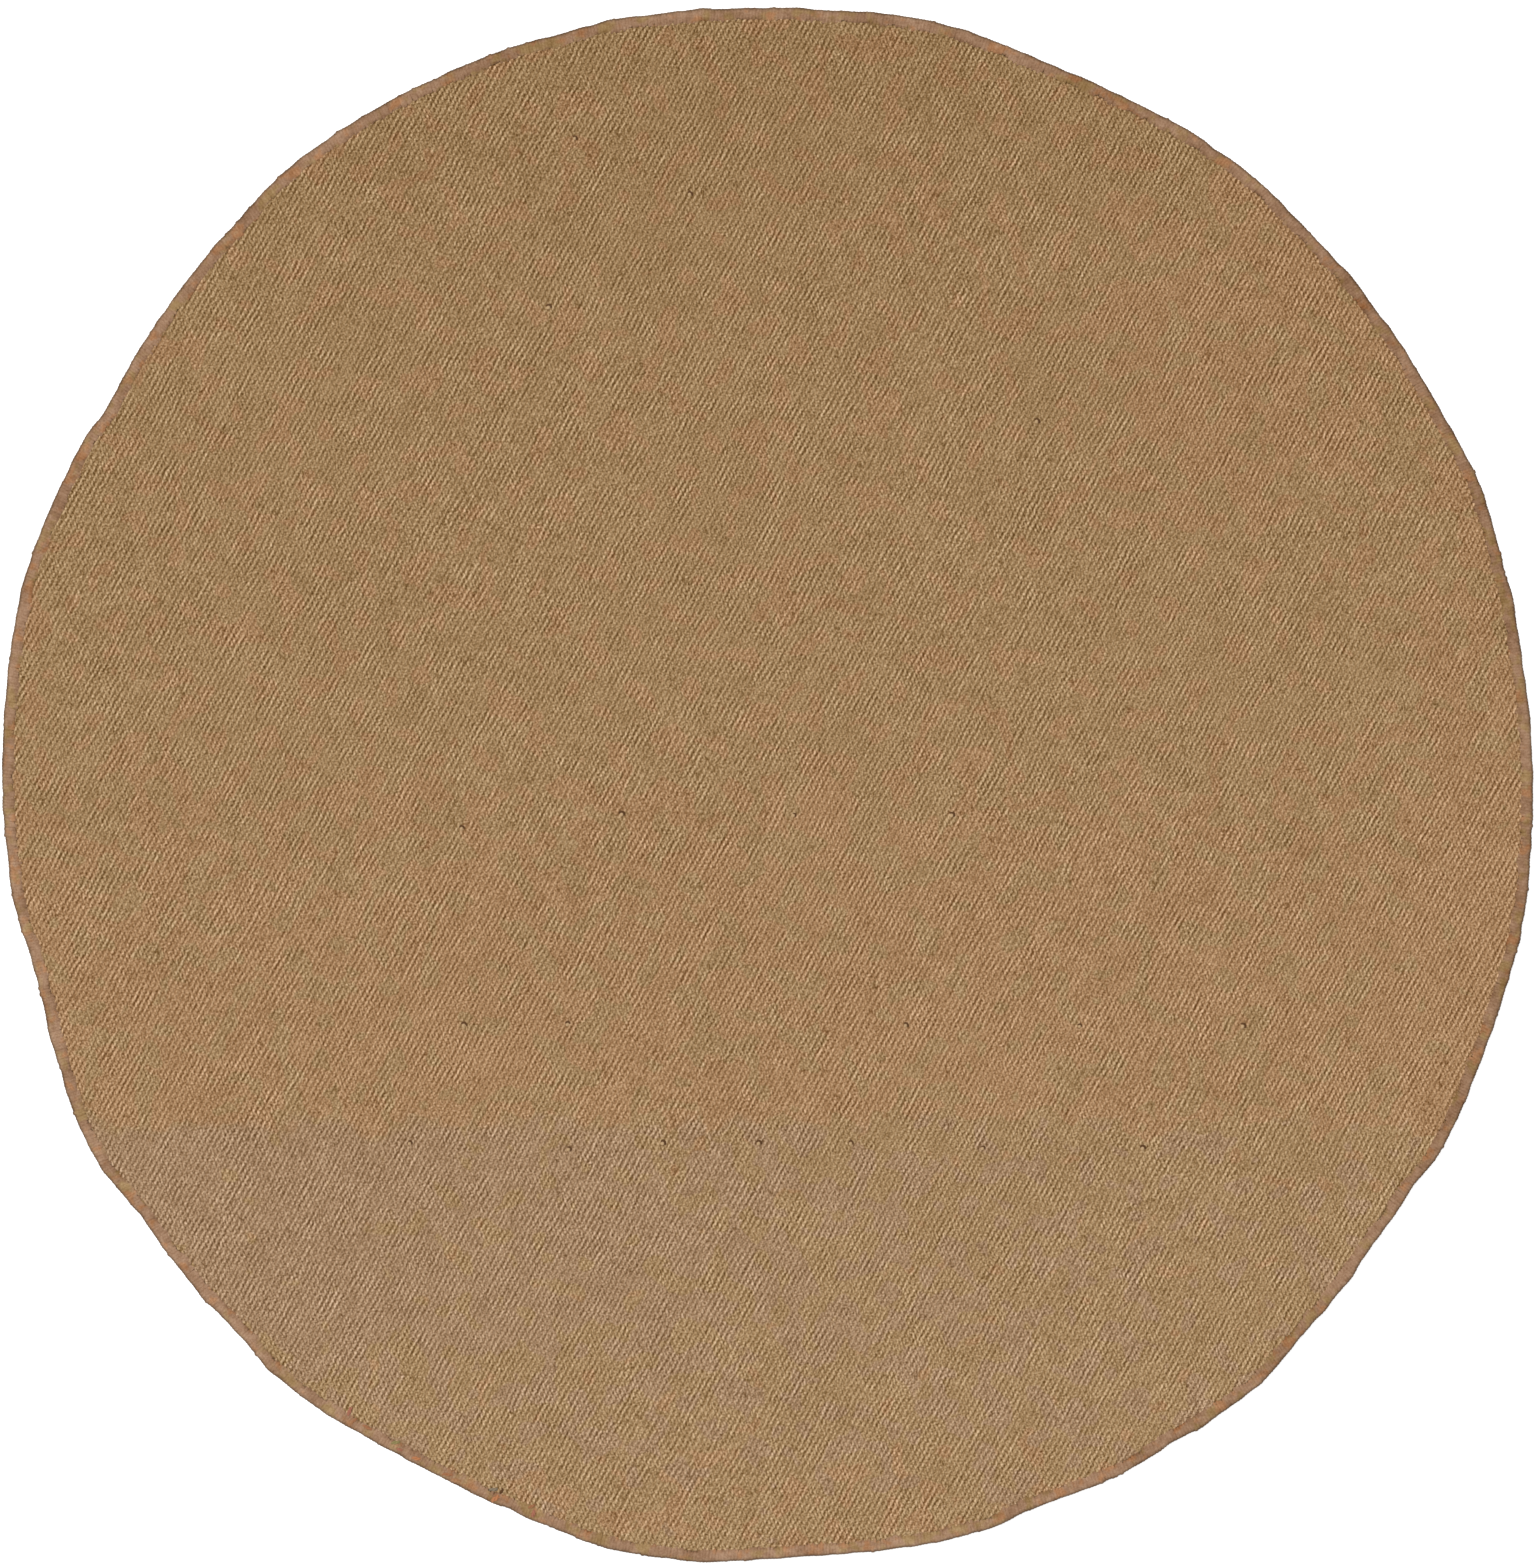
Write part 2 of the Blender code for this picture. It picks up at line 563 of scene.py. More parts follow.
    def mix(self, factor: Input, first: Input, second: Input, blend: str = "MIX") -> Socket:
        """Mix two colours.

        Args:
            factor: How much the second one counts, 0 to 1.
            first: The first colour.
            second: The second colour.
            blend: How the second one is laid on.

        Returns:
            The mixed colour.
        """
        made = self.node("ShaderNodeMix", data_type="RGBA", blend_type=blend)
        sockets = [made.inputs["Factor"]] + [s for s in made.inputs if s.type == "RGBA"]
        for socket, value in zip(sockets, (factor, first, second)):
            self.feed(socket, value)
        return next(s for s in made.outputs if s.type == "RGBA")

    def dry(self, colour: Input, roughness: float, gloss: float = 0.15) -> None:
        """Give the shader its colour and a dry surface.

        Args:
            colour: Its colour.
            roughness: How rough it is, 0 to 1.
            gloss: How much light it mirrors, where 0.5 is a usual surface.
        """
        for name, value in (("Base Color", colour), ("Roughness", roughness),
                            ("Specular IOR Level", gloss)):
            self.feed(self.shader.inputs[name], value)

    def bump(self, height: Input, distance: float) -> None:
        """Raise the surface in its shading alone.

        Args:
            height: How high each spot is, as a number of distances.
            distance: One such distance.
        """
        made = self.node("ShaderNodeBump")
        self.feed(made.inputs["Distance"], distance)
        self.feed(made.inputs["Height"], height)
        self.feed(self.shader.inputs["Normal"], made.outputs[0])


class JuteHue(NamedTuple):
    """How far red stands over green and green over blue, the same in light and dark jute."""

    red_over_green: float
    green_over_blue: float

    def shown(self, lightness: float) -> Colour:
        """The displayed colour that this hue has at a lightness."""
        green = (lightness - LUMA_OF_RED * self.red_over_green
                 + LUMA_OF_BLUE * self.green_over_blue)
        return green + self.red_over_green, green, green - self.green_over_blue


class Finish(NodeBench):
    """A finish of jute, and the tones from its darkest fibre to its lightest."""

    name: str
    middle_tone: float
    tone_reach = 64.0
    tone_steps = 9
    roughness = 0.9

    def __init__(self, exposure: float) -> None:
        """Start the finish for a light that shows its colour as it is at an exposure of 1."""
        super().__init__(self.name)
        self.exposure = exposure

    def shader_colour(self, shown: Colour) -> Colour:
        """The shader's colour for one that is displayed in this studio's light."""
        return tuple(linear(max(value, DARKEST_TONE)) / self.exposure for value in shown)

    def dyed(self, level: Input, hue: JuteHue) -> Socket:
        """Dye the surface in one hue.

        Args:
            level: How much lighter or darker than the middle tone each spot is.
            hue: The hue.

        Returns:
            Its colour at each spot.
        """
        stops = []
        for step in range(self.tone_steps):
            share = step / (self.tone_steps - 1)
            lightness = self.middle_tone + self.tone_reach * (2 * share - 1)
            stops.append((share, self.shader_colour(hue.shown(lightness))))
        return self.ramp(self.spread(level, -self.tone_reach, self.tone_reach, 0.0, 1.0), stops)


class TwillFinish(Finish):
    """Dry tan twill: floats along each rib, uneven yarn, warm, olive and greyish patches.

    The leans say where on the rug there is more or less of a hue. Patterns that follow the weave
    are counted in ribs across and floats along, and the others in metres.
    """

    name = "jute_twill_cloth"
    middle_tone = 129.6
    roughness = 0.92
    olive = JuteHue(30.3, 38.2)
    warm = JuteHue(36.6, 36.8)
    grey = JuteHue(31.0, 31.0)
    warm_patches = Clouds(1 / (27 * MM), 1.5, shift=(0.7, 0.7, 0.0))
    grey_patches = warm_patches._replace(shift=(1.9, 1.9, 0.0))
    patch_edge = 0.10
    ragged = Clouds(14.0, 3.0, 0.6, 0.022)
    near_side = Lean(-0.324, -0.340, 1.0)
    warm_at_far_side = -0.31
    warm_down_rug = (Lean(0.05, -0.03, 0.36), Lean(-0.03, -0.16, 0.22), Lean(-0.62, -0.70, 0.45),
                     near_side._replace(amount=-0.90))
    warm_to_right = Lean(0.60, 0.68, 0.55)
    warm_corner = (0.47, 0.43)
    warm_round_corner = Lean(0.25, 0.06, 0.62)
    grey_at_left = 0.70
    grey_to_right = Lean(-0.60, 0.50, -1.05)
    grey_near_front = -0.13
    grey_evens_out = Lean(-0.50, -0.60, 1.0)
    grey_down_rug = Lean(-0.62, -0.74, -0.50)

    rib_wobble = Clouds(1 / (14 * MM), 1.0, reach=0.12)
    # How much lighter each rib's crest and darker its valley are painted: painted highlight and
    # painted shade.
    rib_light_and_shade = 18.4
    rib_uneven = Clouds(1.0, 0.0, reach=0.45, stretch=(0.9, 0.15, 1.0))
    rib_jog = 0.16
    jog_draw = 3.7
    slant_over_rib = 0.98
    float_drift = Clouds(1.0, 1.0, reach=0.22, stretch=(1.0, 0.06, 1.0))
    float_uneven = 2.5
    float_draw = 1.3
    # Painted shade at each float's ends, where it meets the next, and painted light on its middle.
    float_gap_shade = 26.5
    gap_sharpness = 3.5
    gap_average = 0.22
    contrast_uneven = Clouds(1 / (28 * MM), 1.0, reach=0.5, shift=(0.4, 0.1, 0.0))
    fibre = Clouds(1.0, 3.0, 0.6, stretch=(7.0, 2.2, 1.0))
    fibre_uneven = 12.0
    plies = Clouds(1.0, 0.0, reach=11.0, stretch=(2.1, 1.8, 1.0))
    ply_beside = plies._replace(shift=(0.67, 0.0, 0.0))
    specks = Clouds(1 / (1.55 * MM), 0.0, reach=25.0)
    # A few floats get a dark spot painted in their middle: the painted shade of a pit.
    pit_share = 0.008
    pit_draw = 8.1
    pit_shade = Lean(0.42, 0.14, -48.0)
    mottle = Clouds(1 / (20 * MM), 1.0, reach=4.2)
    broad_uneven = Clouds(9.0, 3.0, 0.6, 2.0)
    near_to_far = (-0.55, 0.6)
    near_light = 1.9
    far_dark = 5.9
    to_far_rim = (0.52, 0.74)
    far_rim_dark = 4.5
    relief = 0.35 * MM
    valley_relief = -0.25
    fibre_relief = 0.2

    def build(self) -> bpy.types.Material:
        """Build the cloth's material.

        Returns:
            The material, which reads the weave map and Object coordinates.
        """
        weave = self.node("ShaderNodeUVMap", uv_map=WEAVE_MAP).outputs[0]
        turns, along, _ = self.apart(weave)
        turns = self.total(turns, self.clouds(self.rib_wobble))
        rib = self.maths("FLOOR", self.total(turns, 0.5))
        over = self.less(turns, rib)
        slanted = self.total(along, self.times(over, -self.slant_over_rib),
                             self.lots(self.vector(rib, self.jog_draw), self.rib_jog),
                             self.clouds(self.float_drift, weave))
        float_no = self.maths("FLOOR", slanted)
        run = self.less(self.less(slanted, float_no), 0.5)

        wave = self.maths("COSINE", self.times(over, math.tau))
        to_tip = self.maths("ABSOLUTE", self.times(run, 2.0))
        gap = self.maths("POWER", to_tip, self.gap_sharpness)
        fibre = self.clouds(self.fibre, weave)
        # Painted highlight along each rib's crest and painted shade in its valley.
        rib_lit_and_shaded = self.times(wave, self.total(self.clouds(self.rib_uneven, weave), 1.0))
        ply_tone = self.less(self.clouds(self.plies, weave), self.clouds(self.ply_beside, weave))
        # The plies' own uneven tone, with the painted light and shade of the ribs and floats.
        weave_and_shade_tone = self.total(
            self.times(rib_lit_and_shaded, self.rib_light_and_shade),
            self.times(self.less(gap, self.gap_average), -self.float_gap_shade), ply_tone)
        # The fibres' own uneven tone and specks, with the painted shade of the pits.
        fibres_and_painted_pits = self.total(
            self.times(fibre, self.fibre_uneven), self.clouds(self.specks),
            self.pit_shade_tone(self.vector(rib, float_no, self.pit_draw), self.vector(over, run)))
        float_tone = self.lots(self.vector(rib, float_no, self.float_draw), self.float_uneven)
        strength = self.total(1.0, self.clouds(self.contrast_uneven))
        level = self.total(self.times(weave_and_shade_tone, strength), fibres_and_painted_pits, float_tone,
                           self.broad_tone())
        self.dry(self.patched(level), self.roughness)
        valley = self.spread(wave, -1.0, 1.0, 1.0, 0.0)
        self.bump(self.total(self.less(1.0, gap), self.times(valley, self.valley_relief),
                             self.times(fibre, self.fibre_relief)), self.relief)
        return self.material

    def pit_shade_tone(self, which: Input, where: Input) -> Socket:
        """Painted shade of a pit in the middle of a few floats."""
        pit = self.maths("GREATER_THAN", self.lots(which), 1.0 - 2.0 * self.pit_share)
        return self.times(pit, self.eased(self.measure("LENGTH", where), self.pit_shade))

    def broad_tone(self) -> Socket:
        """Make the cloth a little lighter on the near side, with faint clouds all over.

        Returns:
            How much lighter or darker each spot is.
        """
        _, y, _ = self.apart(self.place)
        return self.total(
            self.spread(y, *self.near_to_far, self.near_light, -self.far_dark),
            self.spread(y, *self.to_far_rim, 0.0, -self.far_rim_dark),
            self.clouds(self.broad_uneven), self.clouds(self.mottle))

    def patched(self, level: Input) -> Socket:
        """Lay warm patches on olive cloth, and greyish ones on the near side.

        Args:
            level: How much lighter or darker each spot is.

        Returns:
            The cloth's colour.
        """
        olive, warm, grey = (self.dyed(level, hue) for hue in (self.olive, self.warm, self.grey))
        x, y, _ = self.apart(self.place)
        ragged = self.total(y, self.clouds(self.ragged))
        from_corner = self.vector(*(self.less(*pair) for pair in zip((x, y), self.warm_corner)))
        warm_lean = self.total(
            self.warm_at_far_side, self.eased(x, self.warm_to_right),
            self.eased(self.measure("LENGTH", from_corner), self.warm_round_corner),
            *(self.eased(ragged, row) for row in self.warm_down_rug))
        warmed = self.mix(self.patches(self.warm_patches, warm_lean), olive, warm)
        by_side = self.total(self.grey_at_left, self.eased(x, self.grey_to_right))
        even = self.times(self.eased(y, self.grey_evens_out),
                          self.less(self.grey_near_front, by_side))
        grey_lean = self.total(by_side, even, self.eased(y, self.grey_down_rug))
        greyed = self.times(self.eased(ragged, self.near_side),
                            self.patches(self.grey_patches, grey_lean))
        return self.mix(greyed, warmed, grey)

    def patches(self, look: Clouds, lean: Input) -> Socket:
        """Rounded patches: 0 outside and 1 inside, and more of them where lean is more."""
        edge = self.patch_edge
        return self.spread(self.total(self.clouds(look), lean), -edge, edge, 0.0, 1.0, "SMOOTHSTEP")


class HueDrift(NamedTuple):
    """Stretches of yarn in another hue: where they lie, and how rare they are."""

    hue: JuteHue
    where: Clouds
    rare: float


class YarnFinish(Finish):
    """Overcast yarn: redder and smoother than the twill, its hue drifting along the rim.

    Places on a wrap are shares of the way round the yarn, or along it from its inner end.
    """

    name = "jute_overcast_yarn"
    middle_tone = 124.0
    plain = JuteHue(34.0, 26.5)
    # A greyer hue for the painted shade on the wraps' outer side and underside.
    outer_shade_hue = JuteHue(24.0, 22.0)
    drifts = (
        HueDrift(JuteHue(30.0, 40.0), Clouds(1 / (18 * MM), shift=(0.3, 0.3, 0.0)), 0.32),
        HueDrift(JuteHue(46.0, 36.0), Clouds(1 / (14 * MM), shift=(1.1, 1.1, 0.0)), 0.42),
    )
    drift_edge = 0.3
    # Painted shade down each wrap's sides, away from its crest, where it meets its neighbours.
    crease_shade_edges = (0.28, 0.42)
    crease_shade = 12.0
    outer = Lean(0.34, 0.54, 1.0)
    # Painted shade: each wrap is darker on its outer side and underside.
    outer_shade = 6.0
    # A painted shadow line where the wraps turn round the rim's outermost edge.
    rim_shadow = Lean(0.38, 0.52, -38.0)
    # Painted shadow in stretches along the band's inner edge, where the yarn meets the cloth.
    inner = Lean(0.26, 0.06, 1.0)
    inner_shadow_stretches = Clouds(38.0, shift=(2.3, 0.0, 0.0))
    inner_shadow = Lean(-0.1, 0.5, -17.0)
    fibre = Clouds(620.0, 2.0, 0.6)
    fibre_uneven = 14.0
    uneven = (Clouds(150.0, 2.0, 0.6, 14.0), Clouds(30.0, 2.0, 0.6, 12.0, (0.6, 0.0, 0.0)),
              Clouds(5.0, 1.0, 0.5, 8.0, (1.6, 0.0, 0.0)))
    lit_bearing = 215.0
    lit_side = 4.5
    relief = 0.1 * MM

    def build(self) -> bpy.types.Material:
        """Build the yarn's material.

        Returns:
            The material, which reads the yarn map and Object coordinates.
        """
        around, along, _ = self.apart(self.node("ShaderNodeUVMap", uv_map=YARN_MAP).outputs[0])
        open_side = self.maths("ABSOLUTE", self.less(around, 0.5))
        outer = self.eased(along, self.outer)
        fibre = self.clouds(self.fibre)
        slope = place_at(math.radians(self.lit_bearing), self.lit_side / Rim.mean_radius)
        inner_shadow_tone = self.eased(self.clouds(self.inner_shadow_stretches), self.inner_shadow)
        level = self.total(
            self.spread(open_side, *self.crease_shade_edges, -self.crease_shade, 0.0),
            self.times(outer, -self.outer_shade), self.eased(along, self.rim_shadow),
            self.times(fibre, self.fibre_uneven), *(self.clouds(look) for look in self.uneven),
            self.measure("DOT_PRODUCT", self.place, slope),
            self.times(self.eased(along, self.inner), inner_shadow_tone))
        colour = self.dyed(level, self.plain)
        for drift in self.drifts:
            span = Lean(drift.rare - self.drift_edge, drift.rare + self.drift_edge, 1.0)
            share = self.eased(self.clouds(drift.where), span)
            colour = self.mix(share, colour, self.dyed(level, drift.hue))
        # The outer side and underside take the greyer hue of painted shade.
        self.dry(self.mix(outer, colour, self.dyed(level, self.outer_shade_hue)), self.roughness)
        self.bump(fibre, self.relief)
        return self.material


class StrandFinish(Finish):
    """Single strands of jute, each with its own dye."""

    name = "jute_strands"
    fibre = Clouds(700.0, 2.0, 0.6)
    fibre_uneven = 0.12
    relief = 0.08 * MM

    def build(self) -> bpy.types.Material:
        """Build the strands' material.

        Returns:
            The material, which reads the dye attribute and Object coordinates.
        """
        number = self.node("ShaderNodeAttribute", attribute_name=DYE).outputs["Fac"]
        stops = [(dye.number / len(Dye), self.shader_colour(dye.value)) for dye in Dye]
        factor = self.maths("DIVIDE", self.total(number, 0.5), len(Dye))
        fibre = self.clouds(self.fibre)
        shade = self.total(self.times(fibre, self.fibre_uneven), 1.0)
        self.dry(self.mix(1.0, self.ramp(factor, stops, "CONSTANT"),
                          self.vector(shade, shade, shade), "MULTIPLY"), self.roughness)
        self.bump(fibre, self.relief)
        return self.material


class Wave(NamedTuple):
    """One long soft wave in the cloth."""

    length: float
    bearing: float
    height: float
    start: float


@dataclass(frozen=True)
class TwillField:
    """The disc of twill: ribbed on both faces, pressed thin under the yarn at its rim."""

    rim: Rim
    thickness: float = 6.0 * MM
    rib_pitch: float = 5.02 * MM
    rib_depth: float = 0.8 * MM
    rib_bearing: float = 61.3
    lines_in_rib: int = 6
    lines_in_under_rib: int = 2
    under_rib_depth: float = 0.4 * MM
    valley_sharpness: float = 2.2
    float_length: float = 4.3 * MM
    row_spacing: float = 27 * MM
    cut_edge: float = 2.0 * MM
    lower_cut_edge: float = 3.6 * MM
    pressed_bottom: float = 1.5 * MM
    pressed_top: float = 4.5 * MM
    pressed_inset: float = 8.6 * MM
    full_inset: float = 11.2 * MM
    snap: float = 0.2 * MM
    crease: float = 60
    rib_wander: tuple[Wave, ...] = (
        Wave(0.190, 40, 0.55 * MM, 0.3), Wave(0.118, 84, 0.35 * MM, 2.1),
        Wave(0.262, -25, 0.6 * MM, 4.0), Wave(0.071, 63, 0.22 * MM, 1.1),
    )
    lie: tuple[Wave, ...] = (
        Wave(0.43, 10, 0.14 * MM, 0.9), Wave(0.31, 112, 0.12 * MM, 3.3),
    )
    wave_bend: float = 0.8
    bend_quickness: float = 2.3
    wander_start: float = 14 * MM
    wander_full: float = 60 * MM

    @property
    def along(self) -> Vector:
        """The direction in which the ribs run."""
        return place_at(math.radians(self.rib_bearing))

    @property
    def across(self) -> Vector:
        """The direction from rib to rib."""
        return place_at(math.radians(self.rib_bearing + 90))

    def sections(self) -> list[Section]:
        """List the corners of the cloth's rim.

        Returns:
            The corners, from the underside round to the slope on top, whose height comes later.
        """
        middle = (self.pressed_inset + self.full_inset) / 2
        return [
            Section(self.full_inset, 0), Section(middle, 0),
            Section(self.pressed_inset, self.pressed_bottom),
            Section(self.lower_cut_edge, self.pressed_bottom),
            Section(self.cut_edge, self.pressed_top),
            Section(self.pressed_inset, self.pressed_top),
            Section((self.pressed_inset + middle) / 2, 0), Section(middle, 0),
            Section((middle + self.full_inset) / 2, 0), Section(self.full_inset, 0),
        ]

    def offsets(self, spacing: float) -> list[float]:
        """The places of evenly spaced lines over the whole disc."""
        lines = math.ceil((self.rim.mean_radius + 4 * self.rim.oval_stretch) / spacing)
        return [line * spacing for line in range(-lines, lines + 1)]

    def build(self) -> bpy.types.Object:
        """Model the cloth.

        Returns:
            The finished piece, without its material.
        """
        bm = bmesh.new()
        sections = self.sections()
        loops = self.rim.sweep(bm, sections)
        under, top = bm.faces.new(loops[0]), bm.faces.new(loops[-1])
        slope_start = sections.index(Section(self.pressed_inset, self.pressed_top))
        slope_points = {vert for loop in loops[slope_start:] for vert in loop}
        slope = [face for face in bm.faces
                 if face not in (under, top) and slope_points.issuperset(face.verts)]
        beneath = cut_in_strips(bm, [under], self.across,
                                self.offsets(self.rib_pitch / self.lines_in_under_rib), self.snap)
        under_points = {vert for face in beneath for vert in face.verts}
        ribbed = cut_in_strips(bm, [top, *slope], self.across,
                               self.offsets(self.rib_pitch / self.lines_in_rib), self.snap)
        ribbed = cut_in_strips(bm, ribbed, self.along, self.offsets(self.row_spacing), self.snap)
        top_points = {vert for face in ribbed for vert in face.verts}
        bmesh.ops.triangulate(bm, faces=bm.faces[:])
        bmesh.ops.recalc_face_normals(bm, faces=bm.faces[:])
        bm.verts.index_update()
        top_numbers = [vert.index for vert in top_points]
        under_numbers = [vert.index for vert in under_points]
        piece = finish_piece(bm, Piece.FIELD.value, self.crease)
        self.set_heights(piece.data, top_numbers, under_numbers)
        self.write_maps(piece.data)
        self.sway(piece.data)
        return piece

    def ribs_across(self, x: np.ndarray, y: np.ndarray) -> np.ndarray:
        """How many ribs each place is away from the one through the origin."""
        return (x * self.across.x + y * self.across.y) / self.rib_pitch

    def set_heights(self, mesh: bpy.types.Mesh, top: list[int], under: list[int]) -> None:
        """Raise the ribs on both faces, and let them fade where the yarn presses the cloth.

        Args:
            mesh: The cloth.
            top: The numbers of the points on its upper face.
            under: The numbers of the points on its lower face.
        """
        points = mesh_points(mesh)
        x, y = points[:, 0], points[:, 1]
        full = smooth_step(self.rim.inset(x, y), self.pressed_inset, self.full_inset)
        ribs = self.ribs_across(x, y)
        valley = (2 * np.abs(ribs - np.round(ribs))) ** self.valley_sharpness
        raised = self.pressed_top + (self.thickness - self.pressed_top) * full
        points[top, 2] = (raised - self.rib_depth * valley * full)[top]
        points[under, 2] = (self.under_rib_depth * valley)[under]
        set_mesh_points(mesh, points)

    def write_maps(self, mesh: bpy.types.Mesh) -> None:
        """Give the cloth its weave map, in ribs and floats, and its flat map.

        Args:
            mesh: The cloth, before its ribs wander.
        """
        points, corners = mesh_points(mesh), corner_points(mesh)
        x, y = points[:, 0], points[:, 1]
        floats = (x * self.along.x + y * self.along.y) / self.float_length
        write_map(mesh, WEAVE_MAP, np.column_stack((self.ribs_across(x, y), floats))[corners])
        reach = max(np.ptp(x), np.ptp(y))
        write_map(mesh, BAKE_MAP, ((points[:, :2] - (x.min(), y.min())) / reach)[corners])

    def sway(self, mesh: bpy.types.Mesh) -> None:
        """Let the ribs wander a little sideways and the cloth lie a little uneven.

        Args:
            mesh: The cloth.
        """
        points = mesh_points(mesh)
        x, y = points[:, 0].copy(), points[:, 1].copy()
        free = smooth_step(self.rim.inset(x, y), self.wander_start, self.wander_full)
        sideways = free * self.swell(self.rib_wander, x, y)
        points[:, 0] += sideways * self.across.x
        points[:, 1] += sideways * self.across.y
        above = smooth_step(points[:, 2], self.pressed_bottom, self.pressed_top)
        points[:, 2] += above * free * self.swell(self.lie, x, y)
        set_mesh_points(mesh, points)

    def swell(self, waves: Sequence[Wave], x: np.ndarray, y: np.ndarray) -> np.ndarray:
        """Add up a few long waves, each of them a little bent.

        Args:
            waves: The waves.
            x: The places' first coordinates.
            y: Their second ones.

        Returns:
            How high the waves stand at each place.
        """
        total = np.zeros_like(x)
        for wave in waves:
            cos, sin, _ = place_at(math.radians(wave.bearing))
            phase = (x * cos + y * sin) / wave.length * math.tau
            bend = self.wave_bend * np.sin((y * cos - x * sin) / wave.length * self.bend_quickness)
            total += wave.height * np.sin(phase + wave.start + bend)
        return total

    def flat_size(self) -> tuple[float, float]:
        """The width and length of the rectangle that the disc is cut from."""
        width, length = np.ptp(self.rim.outline, axis=0)
        return width - 2 * self.cut_edge, length - 2 * self.cut_edge

    def flat_area(self) -> float:
        """The cut disc's own area."""
        x, y = self.rim.outline.T * (1 - self.cut_edge / self.rim.mean_radius)
        return 0.5 * abs(np.dot(x, np.roll(y, -1)) - np.dot(y, np.roll(x, -1)))


class YarnStation(NamedTuple):
    """A place along one wrap of yarn: its middle line, and the yarn's own size there."""

    inset_mm: float
    height_mm: float
    half_width_mm: float
    half_thickness_mm: float


@dataclass(frozen=True)
class OvercastEdge:
    """Yarn sewn over the cut rim: wraps side by side, each from the top round to below."""

    rim: Rim
    stitches: int = 1520
    stitches_in_row: int = 95
    sides: int = 5
    narrow: float = 0.75
    crease: float = 100
    stations: tuple[YarnStation, ...] = tuple(YarnStation(*row) for row in (
        (11.7, 5.35, 0.9, 0.35), (10.7, 5.72, 1.6, 0.5), (7.6, 5.66, 1.95, 0.7),
        (4.6, 5.66, 1.95, 0.72), (2.2, 5.3, 1.9, 0.7), (0.92, 4.2, 1.85, 0.68),
        (0.74, 2.6, 1.85, 0.68), (1.7, 1.15, 1.8, 0.68), (5.0, 0.76, 1.8, 0.66),
        (10.3, 0.8, 1.4, 0.55),
    ))
    upper_half: float = 3 * MM
    lean: float = 0.9 * MM
    lean_uneven: float = 0.25 * MM
    side_uneven: float = 0.10 * MM
    stands_out: float = 1.0 * MM
    stands_out_until: tuple[float, float] = (0.1, 0.75)
    out_uneven: float = 0.10 * MM
    reach_uneven: float = 0.65 * MM
    reach_ripple: float = 0.5 * MM
    reach_waves: tuple[int, ...] = (67, 94, 131, 178)
    nub_share: float = 0.05
    nub_least: float = 0.3 * MM
    nub_most: float = 0.9 * MM
    tufts: tuple[RimRow, ...] = tuple(RimRow(*row) for row in (
        (14, 1.5), (41, 1.5), (57, 1.1), (95, 1.2), (132, 1.4), (199, 1.9), (222, 1.5), (229, 1.4),
        (252, 1.2), (304, 2.0), (320, 2.3),
    ))
    tuft_half_width: float = 1.1
    ripple: float = 0.16 * MM
    ripple_waves: tuple[int, ...] = (47, 61, 83, 112, 149, 203)
    cap_tuck: float = 0.02
    wrap_in_row: tuple[float, float] = (0.04, 0.92)
    row_in_map: tuple[float, float] = (0.03, 0.94)
    seed: int = 7

    def build(self) -> bpy.types.Object:
        """Model the wraps.

        Returns:
            The finished piece, without its material.
        """
        bm = bmesh.new()
        self.one_wrap(bm)
        parts = bm.verts[:] + bm.edges[:] + bm.faces[:]
        step = math.tau / self.stitches
        bmesh.ops.spin(bm, geom=parts, axis=(0, 0, 1), cent=(0, 0, 0), steps=self.stitches - 1,
                       angle=step * (self.stitches - 1), use_duplicate=True)
        bmesh.ops.recalc_face_normals(bm, faces=bm.faces[:])
        piece = finish_piece(bm, Piece.EDGE.value, self.crease)
        self.write_maps(piece.data, self.fit_to_rim(piece.data))
        return piece

    def one_wrap(self, bm: BMesh) -> None:
        """Model one wrap at bearing 0, a flattened five-sided yarn along a C, with its map.

        Args:
            bm: The mesh in the making.
        """
        rings = loops_in_row(bm, self.sides, len(self.stations))
        middles = [Vector((self.rim.mean_radius - s.inset_mm * MM, 0, s.height_mm * MM))
                   for s in self.stations]
        last = len(middles) - 1
        where = {}
        for number, (verts, station) in enumerate(zip(rings, self.stations)):
            way = (middles[min(number + 1, last)] - middles[max(number - 1, 0)]).normalized()
            outward = way.cross(Vector((0, 1, 0))).normalized()
            for side, vert in enumerate(verts):
                turn = math.tau * side / self.sides
                wide = station.half_width_mm * MM * self.narrow * math.sin(turn)
                thick = station.half_thickness_mm * MM * math.cos(turn)
                vert.co = middles[number] + outward * thick + Vector((0, wide, 0))
                where[vert] = (side, number)
        lay = bm.loops.layers.uv.new(YARN_MAP)
        for face in bm.faces:
            for loop in face.loops:
                side, number = where[loop.vert]
                wraps = side == 0 and any(where[vert][0] == self.sides - 1 for vert in face.verts)
                loop[lay].uv = ((self.sides if wraps else side) / self.sides, number / last)
        for end in (rings[0], rings[-1]):
            for loop in bm.faces.new(end).loops:
                side, number = where[loop.vert]
                loop[lay].uv = side / self.sides, abs(number / last - self.cap_tuck * (side % 2))

    def fit_to_rim(self, mesh: bpy.types.Mesh) -> np.ndarray:
        """Move each wrap from its even circle onto the uneven rim, with a hand's unevenness.

        Args:
            mesh: The wraps round a circle.

        Returns:
            The number of the wrap that each point belongs to.
        """
        points = mesh_points(mesh)
        step = math.tau / self.stitches
        turns = np.arctan2(points[:, 1], points[:, 0])
        numbers = np.round(turns / step).astype(int) % self.stitches
        off = turns - np.round(turns / step) * step
        reach_out = np.hypot(points[:, 0], points[:, 1])
        sideways = reach_out * np.sin(off) / self.narrow
        inset = self.rim.mean_radius - reach_out * np.cos(off)

